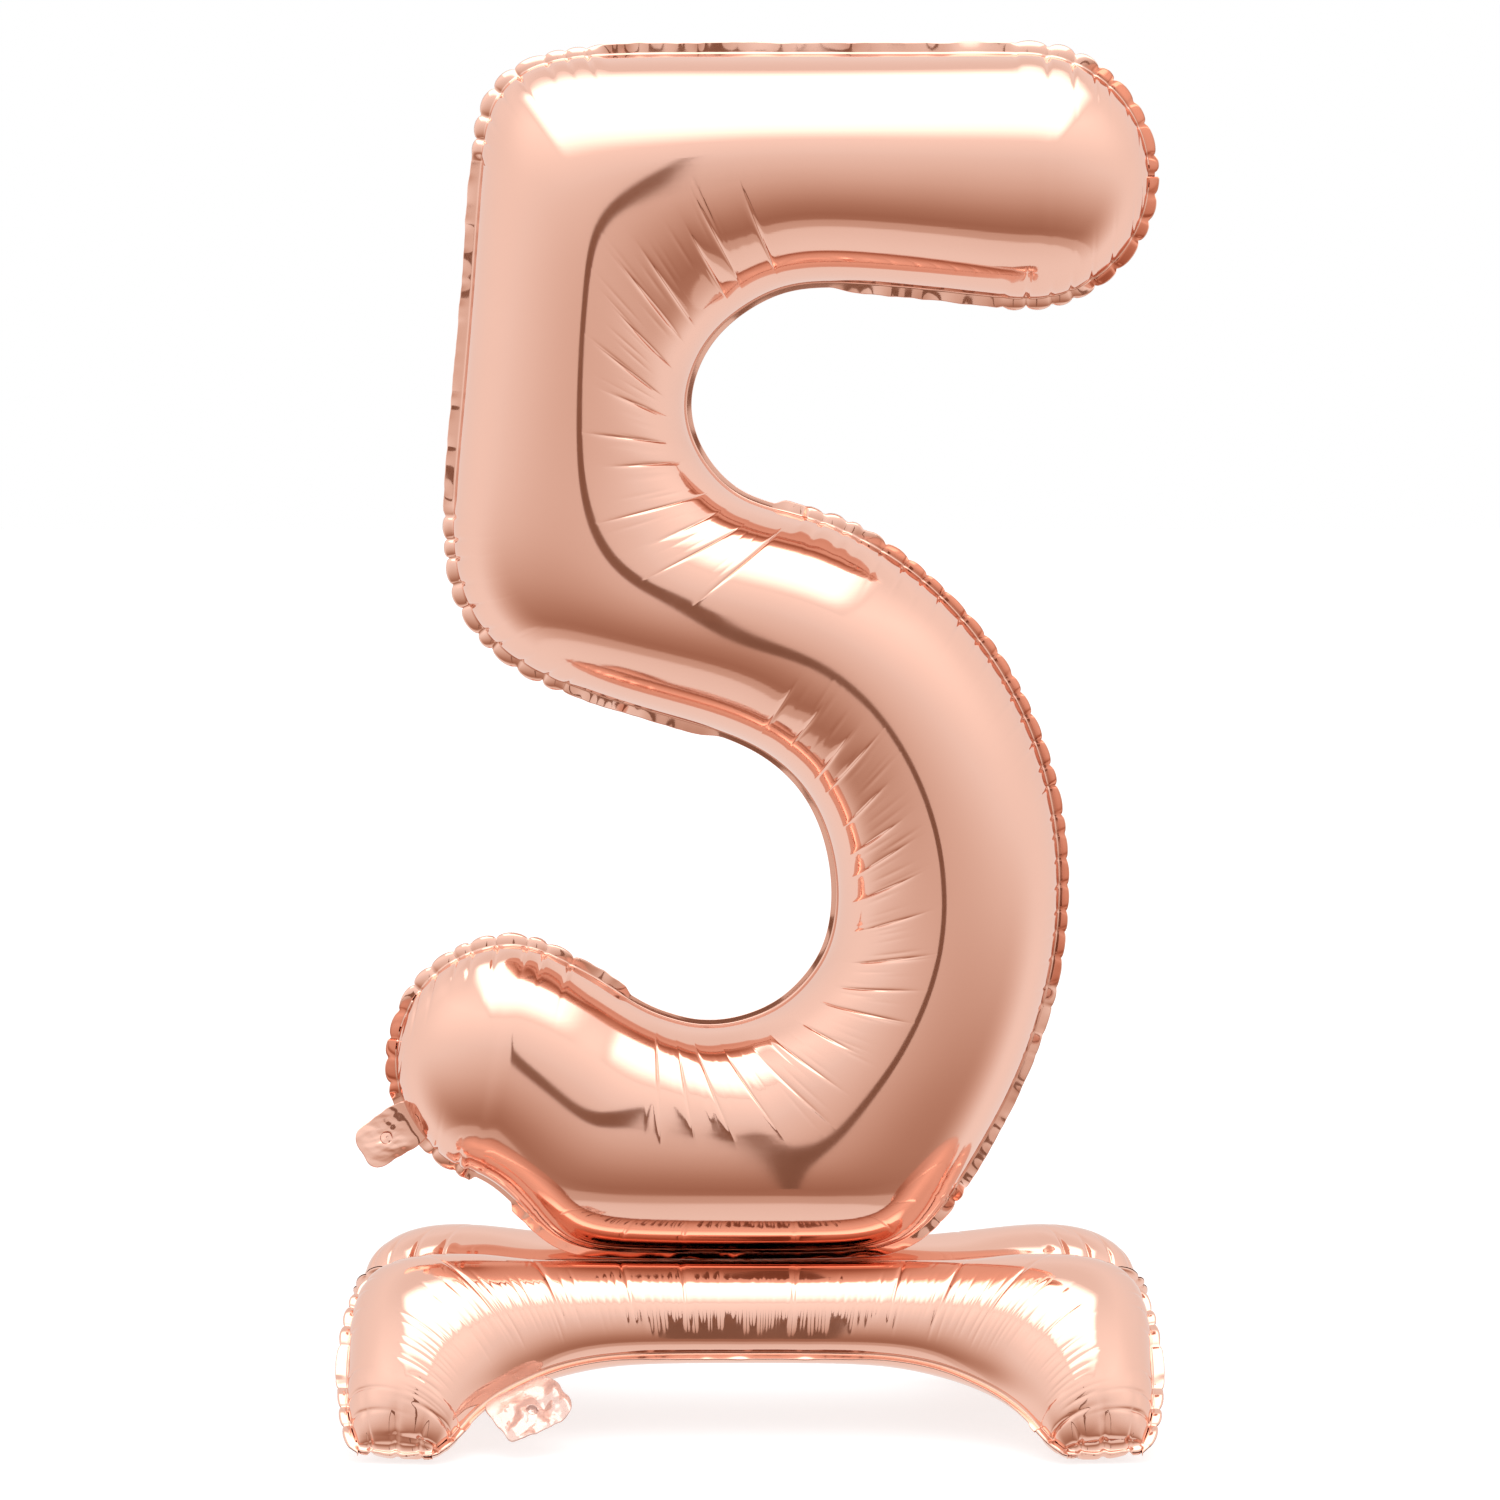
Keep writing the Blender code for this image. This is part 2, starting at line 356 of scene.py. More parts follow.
def add_plane(name, corners, material):
    mesh = bpy.data.meshes.new(name)
    mesh.from_pydata(corners, [], [tuple(range(len(corners)))])
    obj = bpy.data.objects.new(name, mesh)
    bpy.context.scene.collection.objects.link(obj)
    mesh.materials.append(material)
    return obj


def rectangle(half_x, near_y, far_y, z):
    return [(-half_x, near_y, z), (half_x, near_y, z), (half_x, far_y, z), (-half_x, far_y, z)]


def add_floor():
    """Part of the floor's white is its own light, so that the shadow on it stays faint."""
    looks = {"base_color": FLOOR_COLOR, "roughness": 0.8, "emission_color": WHITE}
    pale, _ = principled_material("pale_floor", **looks, emission_strength=FLOOR_GLOW)
    floor = add_plane("floor", rectangle(FLOOR_HALF, -FLOOR_HALF, FLOOR_HALF, 0), pale)
    floor.visible_glossy = False


def add_softbox():
    corners = rectangle(SOFTBOX_HALF, SOFTBOX_BACK, SOFTBOX_FRONT, SOFTBOX_Z)
    box = add_plane("softbox", corners, softbox_material())
    box.visible_camera = False
    box.visible_shadow = False


def add_stand():
    dark, _ = principled_material("dark_stand", base_color=STAND_COLOR, roughness=1.0, specular_ior_level=0)
    left = [(-half, STAND_Y, z) for z, half in STAND_OUTLINE]
    right = [(half, STAND_Y, z) for z, half in reversed(STAND_OUTLINE)]
    stand = add_plane("camera_stand", left + right, dark)
    stand.visible_camera = False
    stand.visible_diffuse = False
    stand.visible_shadow = False


def add_studio():
    add_world()
    add_floor()
    add_softbox()
    add_stand()
    bpy.context.scene.view_settings.view_transform = "Standard"


# ---------------------------------------------------------------- materials


# Rose gold where the foil is clear and where it is hazy.
FOIL_CLEAR = (0.865, 0.525, 0.42, 1)
FOIL_HAZY = (0.85, 0.505, 0.395, 1)
# Roller lines are noise drawn out along the balloon's width and packed close up its height.
ROLLER_SCALE = (9, 9, 1400)
FILM_COLOR = (0.92, 0.68, 0.6, 1)


def foil_material():
    """Rose-gold metallised film: nearly a mirror, with faint roller lines and hazy patches."""
    material, shader = principled_material("rose_gold_foil", metallic=1)
    n = Nodes(material.node_tree)
    place = n.add("ShaderNodeTexCoord").outputs["Object"]
    haze = n.noise(place, 14, 5)
    stretch = n.add("ShaderNodeMapping")
    stretch.inputs["Scale"].default_value = ROLLER_SCALE
    n.link(place, stretch.inputs["Vector"])
    n.link(n.smooth(haze, 0.3, 0.75, 0.05, 0.1), shader.inputs["Roughness"])
    tone = n.add("ShaderNodeMix", data_type="RGBA")
    tone.inputs["A"].default_value = FOIL_CLEAR
    tone.inputs["B"].default_value = FOIL_HAZY
    n.link(haze, tone.inputs["Factor"])
    n.link(tone.outputs["Result"], shader.inputs["Base Color"])
    n.bump(n.noise(stretch.outputs[0], 1, 3), 0.05, 0.0001, shader)
    return material


def film_material():
    """Clear valve film, slightly pink where it lies over foil, with a milky crinkle."""
    material, shader = principled_material(
        "clear_valve_film", base_color=FILM_COLOR, metallic=0.55, specular_ior_level=0.8
    )
    n = Nodes(material.node_tree)
    crinkle = n.noise(n.add("ShaderNodeTexCoord").outputs["Object"], 60, 6)
    n.link(n.smooth(crinkle, 0.3, 0.7, 0.08, 0.25), shader.inputs["Roughness"])
    n.link(n.smooth(crinkle, 0.35, 0.7, 0.55, 0.85), shader.inputs["Alpha"])
    n.bump(crinkle, 0.5, 0.0012, shader)
    return material


# ---------------------------------------------------------------- curves and small helpers


def spline(control, t):
    """Uniform cubic B-spline over rows of control values. The first and the last row only steer it."""
    k = np.clip(np.floor(t).astype(int), 0, len(control) - 4)
    f = (t - k).reshape(-1, *([1] * (control.ndim - 1)))
    weights = ((1 - f) ** 3, 3 * f**3 - 6 * f**2 + 4, -3 * f**3 + 3 * f**2 + 3 * f + 1, f**3)
    return sum(weight * control[k + i] for i, weight in enumerate(weights)) / 6


def step(x, low, high):
    """0 up to low and 1 from high on, with a smooth rise between. With low above high it falls instead."""
    s = np.clip((x - low) / (high - low), 0, 1)
    return s * s * (3 - 2 * s)


def lengths(points):
    """Distance along a row of points, from its first one."""
    steps = np.linalg.norm(np.diff(points, axis=0), axis=1)
    return np.concatenate([[0], np.cumsum(steps)])


def wander(places, pitch, seed):
    """Smooth noise along a length, mostly between -1 and 1, with a swing in about each pitch."""
    noise = np.random.default_rng(seed)
    knots = noise.uniform(-1, 1, int(places.max() / pitch) + 5)
    # The spline evens the knots out, so it is stretched back to nearly their range.
    return spline(knots[:, None], places / pitch + 0.5)[:, 0] * 1.5


def near(points, place, reach):
    """1 at a place on a seam, falling to 0 at this reach from it."""
    return 1 - step(np.linalg.norm(points - np.array(place), axis=1), reach * 0.7, reach)


# ---------------------------------------------------------------- tubes


# Rows are this close in mm at a deep crease, and thin out again within this reach of it.
CREASE_ROWS = 0.42
CREASE_REACH = 1.6
# Ribs over which the rows get closer before a stretch of fine rows, and again after it.
FINE_EDGE = 0.3


class Tube:
    """The flat plan of a tube, in mm: two seams, with rib number t joining them at each whole t."""

    def __init__(self, outer, inner, height, round_ends):
        self.outer = self.extended(outer, inner, round_ends)
        self.inner = self.extended(inner, outer, round_ends)
        self.height_of = height
        self.last = len(outer) - 1

    @staticmethod
    def extended(side, other, round_ends):
        """Adds a steering point at each end, where a round end carries on into the other seam."""
        side = np.array(side, float)
        other = np.array(other, float)
        before = other[1] if round_ends else 2 * side[0] - side[1]
        after = other[-2] if round_ends else 2 * side[-1] - side[-2]
        return np.vstack([before, side, after])

    def seams(self, t):
        return spline(self.outer, t), spline(self.inner, t)

    def speeds(self, t, share):
        """mm of travel for each unit of t, on the line that is this share of the way across."""
        small = 0.01
        a0, b0 = self.seams(t - small)
        a1, b1 = self.seams(t + small)
        return np.linalg.norm((a1 - a0) * (1 - share) + (b1 - b0) * share, axis=1) / (2 * small)

    def places(self, first, last, share, pitch, jitter, seed):
        """Parameters about this pitch apart, in mm, on the line that is this share of the way across."""
        t = np.linspace(first, last, 2000)
        a, b = self.seams(t)
        along = lengths(a * (1 - share) + b * share)
        count = max(1, round(along[-1] / pitch))
        marks = (np.arange(count) + 0.5) / count
        marks += np.random.default_rng(seed).uniform(-jitter, jitter, count) / count
        return np.interp(marks * along[-1], along, t)

    def rows(self, spacing, creases=(), fine_stretches=()):
        """Parameters of the mesh's rows, which are closer at (t, share across) creases and in stretches.

        A stretch is (first t, last t, spacing in mm).
        """
        t = np.linspace(0, self.last, 20000)
        speed = np.maximum(self.speeds(t, 0.0), self.speeds(t, 1.0))
        weight = 1 / spacing * np.ones_like(t)
        for first, last, fine in fine_stretches:
            inside = step(t, first - FINE_EDGE, first) * (1 - step(t, last, last + FINE_EDGE))
            weight = np.maximum(weight, inside / fine)
        for place, share in creases:
            local = self.speeds(np.array([place]), share)[0]
            close = np.exp(-(((t - place) * local / CREASE_REACH) ** 2))
            weight = np.maximum(weight, close * speed / local / CREASE_ROWS)
        total = np.concatenate([[0], np.cumsum((speed * weight)[1:] * np.diff(t))])
        count = int(total[-1])
        return np.interp(np.linspace(0, total[-1], count), total, t)


class Crease:
    """A needle-shaped pinch across a tube at t, from v0 to v1 of the half-turn from seam to seam.

    Depth, width and slant are in mm. The slant is how far its ends are apart along the tube.
    """

    def __init__(self, t, v0, v1, depth, width, slant):
        self.t = t
        self.v0 = v0
        self.v1 = v1
        self.depth = depth
        self.width = width
        self.slant = slant

    def add_to(self, push, tube, t, v):
        share = (1 - math.cos(math.pi * (self.v0 + self.v1) / 2)) / 2
        local = tube.speeds(np.array([self.t]), share)[0]
        # Past this distance the groove is too shallow to show.
        touched = np.abs((t - self.t) * local) < 8 * self.width + abs(self.slant)
        if not touched.any():
            return
        along = np.clip((v - self.v0) / (self.v1 - self.v0), 0, 1)
        needle = np.sin(math.pi * along) ** 0.8
        across = ((t[touched] - self.t) * local)[:, None] - self.slant * (along - 0.5)[None, :]
        groove = np.exp(-((np.abs(across) / self.width) ** 1.3))
        push[touched] -= self.depth * needle * groove


class Edge(NamedTuple):
    """One seam, row by row: way out in the plane, distance along in mm, and roundness in 1/mm."""

    out: np.ndarray
    arc: np.ndarray
    bend: np.ndarray


class Fin(NamedTuple):
    """The fin along one seam, row by row.

    Width in mm, its rim's lean to the back in mm, and from 0 to about 1 how much it is pinched
    between two lobes, puffed into a lobe and rippled where it is flat.
    """

    width: np.ndarray
    lean: np.ndarray
    pinch: np.ndarray
    puff: np.ndarray
    ripple: np.ndarray


def lobes(arc, pitch, seed):
    """Phase from 0 to 1 along each lobe of the seam, where lobes are of uneven length."""
    noise = np.random.default_rng(seed)
    count = int(arc.max() / pitch) + 2
    marks = (np.arange(count) + noise.uniform(-0.22, 0.22, count)) * pitch
    return np.interp(arc, marks, np.arange(count)) % 1.0


def seam_edges(a, b):
    """The outer and the inner seam as edges. Round bends of the outline count above 0, hollow ones below."""
    loop = np.vstack([a, b[::-1]])
    ahead = np.roll(loop, -1, axis=0)
    behind = np.roll(loop, 1, axis=0)
    way = ahead - behind
    way /= np.maximum(np.linalg.norm(way, axis=1), 1e-9)[:, None]
    out = np.stack([-way[:, 1], way[:, 0]], axis=1)
    area = np.sum(loop[:, 0] * ahead[:, 1] - ahead[:, 0] * loop[:, 1])
    if area > 0:
        out = -out
    arc = lengths(loop)
    # The bend is taken over even steps of about 2 mm and smoothed, since the rows are uneven.
    even = np.linspace(0, arc[-1], int(arc[-1] / 2))
    turn = np.interp(even, arc, np.unwrap(np.arctan2(way[:, 1], way[:, 0])))
    window = 11
    padded = np.pad(turn, window, mode="edge")
    smoothed = np.convolve(padded, np.ones(window) / window, mode="same")[window:-window]
    bend = np.gradient(smoothed, even) * (1 if area > 0 else -1)
    bend = np.interp(arc, even, bend)
    count = len(a)
    return (
        Edge(out[:count], arc[:count], bend[:count]),
        Edge(out[count:][::-1], arc[count:][::-1], bend[count:][::-1]),
    )


def fin_shape(edge, width_flat, tucked, seed, calm=0.0, lobe_width=FIN_LOBE, ruffle=1.0):
    """The fin along a seam. Its lobes are round pillows, or smaller and leaning forward where tucked in.

    A calm stretch has no lobes, and ruffle scales the ripples of the flat ones.
    """
    arc = edge.arc
    lobed = step(edge.bend, LOBES_FROM, LOBES_FULL) * (1 - calm)
    hollow = step(-edge.bend, HOLLOW_FROM, HOLLOW_FULL)
    phase = lobes(arc, LOBE_PITCH, seed)
    hump = np.clip(np.sin(math.pi * phase), 0, 1) ** 0.4
    size = 1 + 0.25 * wander(arc, 21, seed + 1)
    ripple = (0.6 * wander(arc, 3.1, seed + 2) + 0.8 * wander(arc, 7.3, seed + 5)) * ruffle
    slow = wander(arc, 17, seed + 3) * ruffle
    width = width_flat + (FIN_HOLLOW - width_flat) * hollow
    width = width + 0.35 * ripple * (1 - hollow)
    lobe = FIN_CUSP + (lobe_width - 0.8 * tucked - FIN_CUSP) * hump * size
    width = width + (lobe - width) * lobed
    flat_lean = (0.6 * ripple + 0.7 * slow) * (1 - hollow) * (1 - lobed) + 0.15 * slow * hollow
    lean = flat_lean - TUCK_LEAN * tucked * (0.35 + 0.65 * hump) * lobed
    strength = 0.75 + 0.4 * wander(arc, 11, seed + 4)
    # A pinch is about 1 mm wide to each side of where two lobes meet.
    pinch = np.exp(-((np.minimum(phase, 1 - phase) * LOBE_PITCH) ** 2)) * lobed * strength
    puff = hump * lobed * (1 - 0.8 * tucked)
    return Fin(width, lean, pinch * (1 - 0.5 * tucked), puff, ripple * (1 - lobed) * (1 - hollow))


def grid_normals(points):
    """Unit normals of a grid of points, by differences along its rows and columns."""
    along = np.gradient(points, axis=0)
    across = np.gradient(points, axis=1)
    normal = np.cross(along, across)
    size = np.linalg.norm(normal, axis=2, keepdims=True)
    return normal / np.maximum(size, 1e-12)


def quad_mesh(name, points, faces):
    mesh = bpy.data.meshes.new(name)
    mesh.vertices.add(len(points))
    mesh.vertices.foreach_set("co", points.astype(np.float32).ravel())
    mesh.loops.add(faces.size)
    mesh.loops.foreach_set("vertex_index", faces.astype(np.int32).ravel())
    mesh.polygons.add(len(faces))
    mesh.polygons.foreach_set("loop_start", np.arange(0, faces.size, 4, dtype=np.int32))
    mesh.polygons.foreach_set("use_smooth", np.ones(len(faces), bool))
    mesh.update(calc_edges=True)
    mesh.validate()
    return mesh


def quads_between(near_side, far_side):
    """Faces between two rows or grids of point numbers, each point to the next along the first axis."""
    return np.stack([near_side[:-1], near_side[1:], far_side[1:], far_side[:-1]], axis=-1).reshape(-1, 4)


def shell_mesh(name, grid, thickness, flip, ring=False):
    """A closed thin shell: the grid, a copy set in by its thickness, and walls at its edges.

    A ring's last column joins its first, so that its edges are two loops.
    """
    rows, columns, _ = grid.shape
    if ring:
        normal = grid_normals(np.concatenate([grid[:, -1:], grid, grid[:, :1]], axis=1))[:, 1:-1]
    else:
        normal = grid_normals(grid)
    if flip:
        normal = -normal
    inside = grid - normal * thickness
    points = np.concatenate([grid.reshape(-1, 3), inside.reshape(-1, 3)])
    layer = rows * columns
    index = np.arange(layer).reshape(rows, columns)
    if ring:
        index = np.concatenate([index, index[:, :1]], axis=1)
        edges = [index[0, :], index[-1, ::-1]]
    else:
        edges = [np.concatenate([index[0, :], index[1:, -1], index[-1, -2::-1], index[-2::-1, 0]])]
    quads = quads_between(index[:, :-1], index[:, 1:])
    walls = [quads_between(edge, edge + layer) for edge in edges]
    faces = np.concatenate([quads, quads[:, ::-1] + layer, *walls])
    if flip:
        faces = faces[:, ::-1]
    return quad_mesh(name, points, faces)


def add_piece(name, mesh, material, replaced):
    obj = bpy.data.objects.new(name, mesh)
    bpy.context.scene.collection.objects.link(obj)
    mesh.materials.append(material)
    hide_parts(replaced)
    return obj


def panel_grid(tube, t, side, creases, puffs, fins, columns):
    """Points of one sheet in mm, as (x, y, z) in the tube's own plane, from seam to seam.

    Across the tube the foil is half an ellipse, which creases, puffs and lobes push in and out.
    """
    a, b = tube.seams(t)
    v = np.linspace(0, 1, columns)
    share = (1 - np.cos(math.pi * v)) / 2
    half = np.linalg.norm(b - a, axis=1) / 2
    height = tube.height_of(t, half)
    across = share[None, :, None]
    plan = a[:, None, :] * (1 - across) + b[:, None, :] * across
    bulge = height[:, None] * np.sin(math.pi * v)[None, :]
    grid = np.stack([plan[..., 0], side * bulge, plan[..., 1]], axis=-1)
    normal = grid_normals(grid)
    normal *= np.sign(np.sum(normal[..., 1] * side))
    push = np.zeros((len(t), columns))
    for crease in creases:
        crease.add_to(push, tube, t, v)
    for puff in puffs:
        push += puff(t, v)
    girth = math.pi / 2 * (half + height)
    for fin, from_seam in ((fins[0], v[None, :]), (fins[1], 1 - v[None, :])):
        deep = from_seam * girth[:, None]
        pillow = np.sin(math.pi * np.clip(deep / LOBE_DEEP, 0, 1))
        push += LOBE_LIFT * fin.puff[:, None] * pillow
        push -= PINCH_PRESS * fin.pinch[:, None] * np.exp(-((deep / PINCH_DEEP) ** 2)) * step(deep, -1, 1.5)
        push += RIPPLE_LIFT * fin.ripple[:, None] * np.exp(-deep / RIPPLE_DEEP) * step(deep, 0, 3)
    # The pushes die out where the tube narrows to nothing, round its ends.
    fade = np.clip(half / 12, 0, 1)
    return grid + normal * (push * fade[:, None])[..., None]


def with_fins(grid, seams, edges, fins, side):
    """The sheet with a fin outside each seam. Beside puffed lobes the foil rises to meet the fin."""
    arch = np.sqrt(np.maximum(1 - FIN_SHARES**2, 0))
    quarter = grid.shape[1] // 4
    margins = []
    for seam, edge, fin, columns in zip(seams, edges, fins, (slice(0, quarter), slice(-quarter, None))):
        reach = fin.width[:, None] * FIN_SHARES[None, :]
        plan = seam[:, None, :] + edge.out[:, None, :] * reach[..., None]
        rise = LOBE_RISE * fin.puff
        depth = fin.lean[:, None] * FIN_SHARES[None, :] ** 1.3 + side * rise[:, None] * arch[None, :]
        margins.append(np.stack([plan[..., 0], depth, plan[..., 1]], axis=-1))
        grid[:, columns, 1] = side * np.maximum(side * grid[:, columns, 1], rise[:, None])
    return np.concatenate([margins[0][:, ::-1], grid, margins[1]], axis=1)


def leave_seam(grid, side):
    """Moves a sheet off the seam's middle plane, so that the two films of a tube never touch."""
    grid = grid.copy()
    grid[..., 1] += side * SEAM_OFFSET / MM
    return grid


# ---------------------------------------------------------------- the figure


def round_end(center, radius, way, starts):
    """Ribs of a round end, from its tip to its full width, or the other way."""
    angles = [math.pi / 2 * k / CAP_STEPS for k in range(CAP_STEPS + 1)]
    if starts:
        angles = angles[::-1]
    center = np.array(center, float)
    way = np.array(way, float)
    across = np.array([-way[1], way[0]]) if starts else np.array([way[1], -way[0]])
    ribs = []
    for angle in angles:
        middle = center + way * radius * math.sin(angle)
        reach = across * radius * math.cos(angle)
        ribs.append((middle + reach, middle - reach))
    return ribs


# Bulge of each sheet of the figure, as (rib number counted from the bar's tip, mm). It stays the
# same before the first of these and after the last.
NUMBER_BULGE = (
    (5, 53.2), (7, 55.6), (9.5, 59.2), (11.5, 61), (14, 58.5), (16.5, 59.5), (18.5, 60.5),
    (21, 58.5), (24, 57.5), (27, 57), (30, 55.3), (33, 53), (36, 51),
)
# Half the tube's width where a round end reaches its full bulge, in mm.
END_HALF = 65.3
# Rib numbers along the figure, counted from the bar's tip too.
FIRST_RIB = CAP_STEPS + 1
LAST_RIB = len(NUMBER_RIBS) + 2 * CAP_STEPS + 1
UPPER_BEND = (FIRST_RIB + 2.1, FIRST_RIB + 12.6)
LOWER_BEND = (FIRST_RIB + 14.6, FIRST_RIB + 26.2)


def number_height(t, half):
    """Bulge of each sheet in mm: given along the stroke, and falling to nothing round its ends."""
    ribs, per_rib, smoothed_over = 45, 40, 3
    even = np.linspace(0, ribs, ribs * per_rib)
    places, bulges = zip(*NUMBER_BULGE)
    window = np.hanning(smoothed_over * per_rib + 1)
    smoothed = np.convolve(np.interp(even - 1, places, bulges), window / window.sum(), mode="same")
    in_first = step(t, CAP_STEPS, CAP_STEPS - 0.6)
    in_last = step(t, LAST_RIB - CAP_STEPS, LAST_RIB - CAP_STEPS + 0.6)
    ending = in_first + in_last
    factor = np.clip(half / END_HALF, 0, 1)
    return np.interp(t, even - 1, smoothed) * (factor * ending + 1 - ending)


def number_tube():
    start = round_end(*BAR_END, True)
    end = round_end(*HOOK_END, False)
    ribs = start + [(np.array(o, float), np.array(i, float)) for o, i in NUMBER_RIBS] + end
    outer = [rib[0] for rib in ribs]
    inner = [rib[1] for rib in ribs]
    return Tube(outer, inner, number_height, True)


def on_side(low, high, inner_side):
    """Ends of a crease that is near the inner seam, or mirrored so that it is near the outer one."""
    return (low, high) if inner_side else (1 - high, 1 - low)


def number_creases(tube):
    """Creases on the hollow side of both bends, and where the deep ones are, for the puffs between."""
    noise = np.random.default_rng(11)
    creases = []
    marks = []
    for (first, last), share, inner_side, pitch, seed in (
        (UPPER_BEND, 0.78, True, 17.5, 1),
        (LOWER_BEND, 0.22, False, 17.0, 2),
    ):
        places = tube.places(first, last, share, pitch, 0.25, seed)
        marks.append((places, inner_side))
        # Deep creases cross about a quarter of the half-turn. Between them lie short shallow ones.
        for place in places:
            low = 0.55 + noise.uniform(-0.01, 0.08)
            high = 0.85 - noise.uniform(0, 0.07)
            low, high = on_side(low, high, inner_side)
            depth = noise.uniform(0.5, 0.95)
            creases.append(Crease(place, low, high, depth, 0.7, noise.uniform(-3, 3)))
        fine = tube.places(first + 0.4, last - 0.2, share, pitch / 3.5, 0.45, seed + 10)
        for place in fine:
            length = noise.uniform(0.08, 0.16)
            middle = noise.uniform(0.6, 0.74)
            low, high = on_side(middle - length / 2, middle + length / 2, inner_side)
            creases.append(Crease(place, low, high, noise.uniform(0.04, 0.2), 0.8, noise.uniform(-1, 1)))
    return creases, marks


def puff_between(places, inner_side, height, seed):
    """Foil between two creases stands proud, each stretch by its own amount."""
    amounts = np.random.default_rng(seed).uniform(0.5, 1.3, len(places) + 1) * height

    def puff(t, v):
        which = np.clip(np.searchsorted(places, t) - 1, 0, len(places) - 2)
        share = (t - places[which]) / (places[which + 1] - places[which])
        inside = (share >= 0) & (share <= 1)
        rise = np.where(inside, np.sin(math.pi * np.clip(share, 0, 1)), 0) * amounts[which]
        from_seam = 1 - v if inner_side else v
        across = step(from_seam, 0.1, 0.26) * (1 - step(from_seam, 0.3, 0.47))
        return rise[:, None] * across[None, :]

    return puff


# Fins have no lobes this near the filling tab, nor, on the inner seam, below the first of these
# heights in mm. They have them in full above the second.
TAB_CALM = 20
WELD_CALM = (105, 135)
# Seam heights in mm between which the bottom fin, narrowed by FOOT_NARROWER, gets its full width
# and its full ruffle.
FOOT_WIDENS = (94, 97)
FOOT_RUFFLES = (96, 112)
FOOT_NARROWER = 1.6
PUFF_HEIGHT = 0.28


def tucked_in(seam, edge):
    """How much lobes are tucked in: on sides that face right, and on the hook's left side."""
    hook = step(-edge.out[:, 0], 0.75, 0.95) * (1 - step(seam[:, 1], 230, 245))
    return np.maximum(step(edge.out[:, 0], 0.35, 0.6), hook)


def number_fins(a, b, edges):
    calm_a = near(a, NUMBER_TAB_ROOT, TAB_CALM)
    calm_b = np.maximum(near(b, NUMBER_TAB_ROOT, TAB_CALM), 1 - step(b[:, 1], *WELD_CALM))
    width_b = FIN_FLAT - FOOT_NARROWER * (1 - step(b[:, 1], *FOOT_WIDENS))
    ruffle_b = 0.3 + 0.7 * step(b[:, 1], *FOOT_RUFFLES)
    return (
        fin_shape(edges[0], FIN_FLAT, tucked_in(a, edges[0]), 31, calm_a),
        fin_shape(edges[1], width_b, tucked_in(b, edges[1]), 41, calm_b, ruffle=ruffle_b),
    )


def make_number(foil):
    tube = number_tube()
    creases, marks = number_creases(tube)
    deep = [(c.t, 0.8 if c.v0 > 0.4 else 0.2) for c in creases if c.depth > 0.35]
    fine_stretches = (
        (0, FIRST_RIB - 1, 1.0),
        (FIRST_RIB + 3, FIRST_RIB + 7, 1.0),
        (FIRST_RIB + 9, FIRST_RIB + 13, 1.0),
        (FIRST_RIB + 15, FIRST_RIB + 23, 1.1),
        (FIRST_RIB + 27, tube.last, 1.0),
    )
    t = tube.rows(NUMBER_ROWS, deep, fine_stretches)
    a, b = tube.seams(t)
    edges = seam_edges(a, b)
    fins = number_fins(a, b, edges)
    puffs = [puff_between(places, inner_side, PUFF_HEIGHT, 7) for places, inner_side in marks]
    for label, side in (("front", -1), ("rear", 1)):
        grid = panel_grid(tube, t, side, creases, puffs, fins, NUMBER_COLUMNS)
        grid = with_fins(grid, (a, b), edges, fins, side)
        grid = leave_seam(grid, side) * MM
        node = f"number_{label}_panel"
        mesh = shell_mesh(node, grid, FILM, side > 0)
        obj = add_piece(f"number_{label}_foil", mesh, foil, node)
        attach(obj, "number")


# ---------------------------------------------------------------- the legs


# Shares of the bulge at the first ribs from each foot's end. Heights are squared before they are
# smoothed, so that a foot ends round, and flattened by LEG_FLATTER.
FOOT_TAPER = (0.0, 0.85, 1.05, 1.05, 1.0)
LEG_FLATTER = 0.86


def leg_height(ribs_half, most, bulge):
    """Bulge along a leg: this much for each mm of a rib's half width, but no more than most."""
    heights = []
    for index, half in enumerate(ribs_half):
        from_end = min(index, len(ribs_half) - 1 - index)
        factor = FOOT_TAPER[from_end] if from_end < len(FOOT_TAPER) else 1
        heights.append((LEG_FLATTER * min(bulge * half, most) * factor) ** 2)
    control = np.array([-heights[1], *heights, -heights[-2]])[:, None]
    return lambda t, _half: np.sqrt(np.maximum(spline(control, t)[:, 0], 0))


def leg_tube(bulge, most):
    right = [(np.array((a[0], -a[1]), float), np.array((b[0], -b[1]), float)) for a, b in LEG_RIBS]
    flip = np.array((-1.0, 1.0))
    ribs = [(a * flip, b * flip) for a, b in right[:0:-1]] + right
    outer = [rib[0] for rib in ribs]
    inner = [rib[1] for rib in ribs]
    halves = [np.linalg.norm(o - i) / 2 for o, i in ribs]
    return Tube(outer, inner, leg_height(halves, most, bulge), False)


def leg_matrix(turn):
    lean = Matrix.Rotation(-LEG_LEAN, 4, "X")
    return Matrix.Translation((0, 0, WELD_Z)) @ Matrix.Rotation(turn, 4, "Z") @ lean


# Pleats at each foot, as (share of the way across, reach from the end in mm, depth in mm). Their
# half width is a share of the way across too.
FOOT_PLEATS = ((0.27, 13, 1.7), (0.5, 17, 2.3), (0.71, 13, 1.9))
PLEAT_WIDTH = 0.024


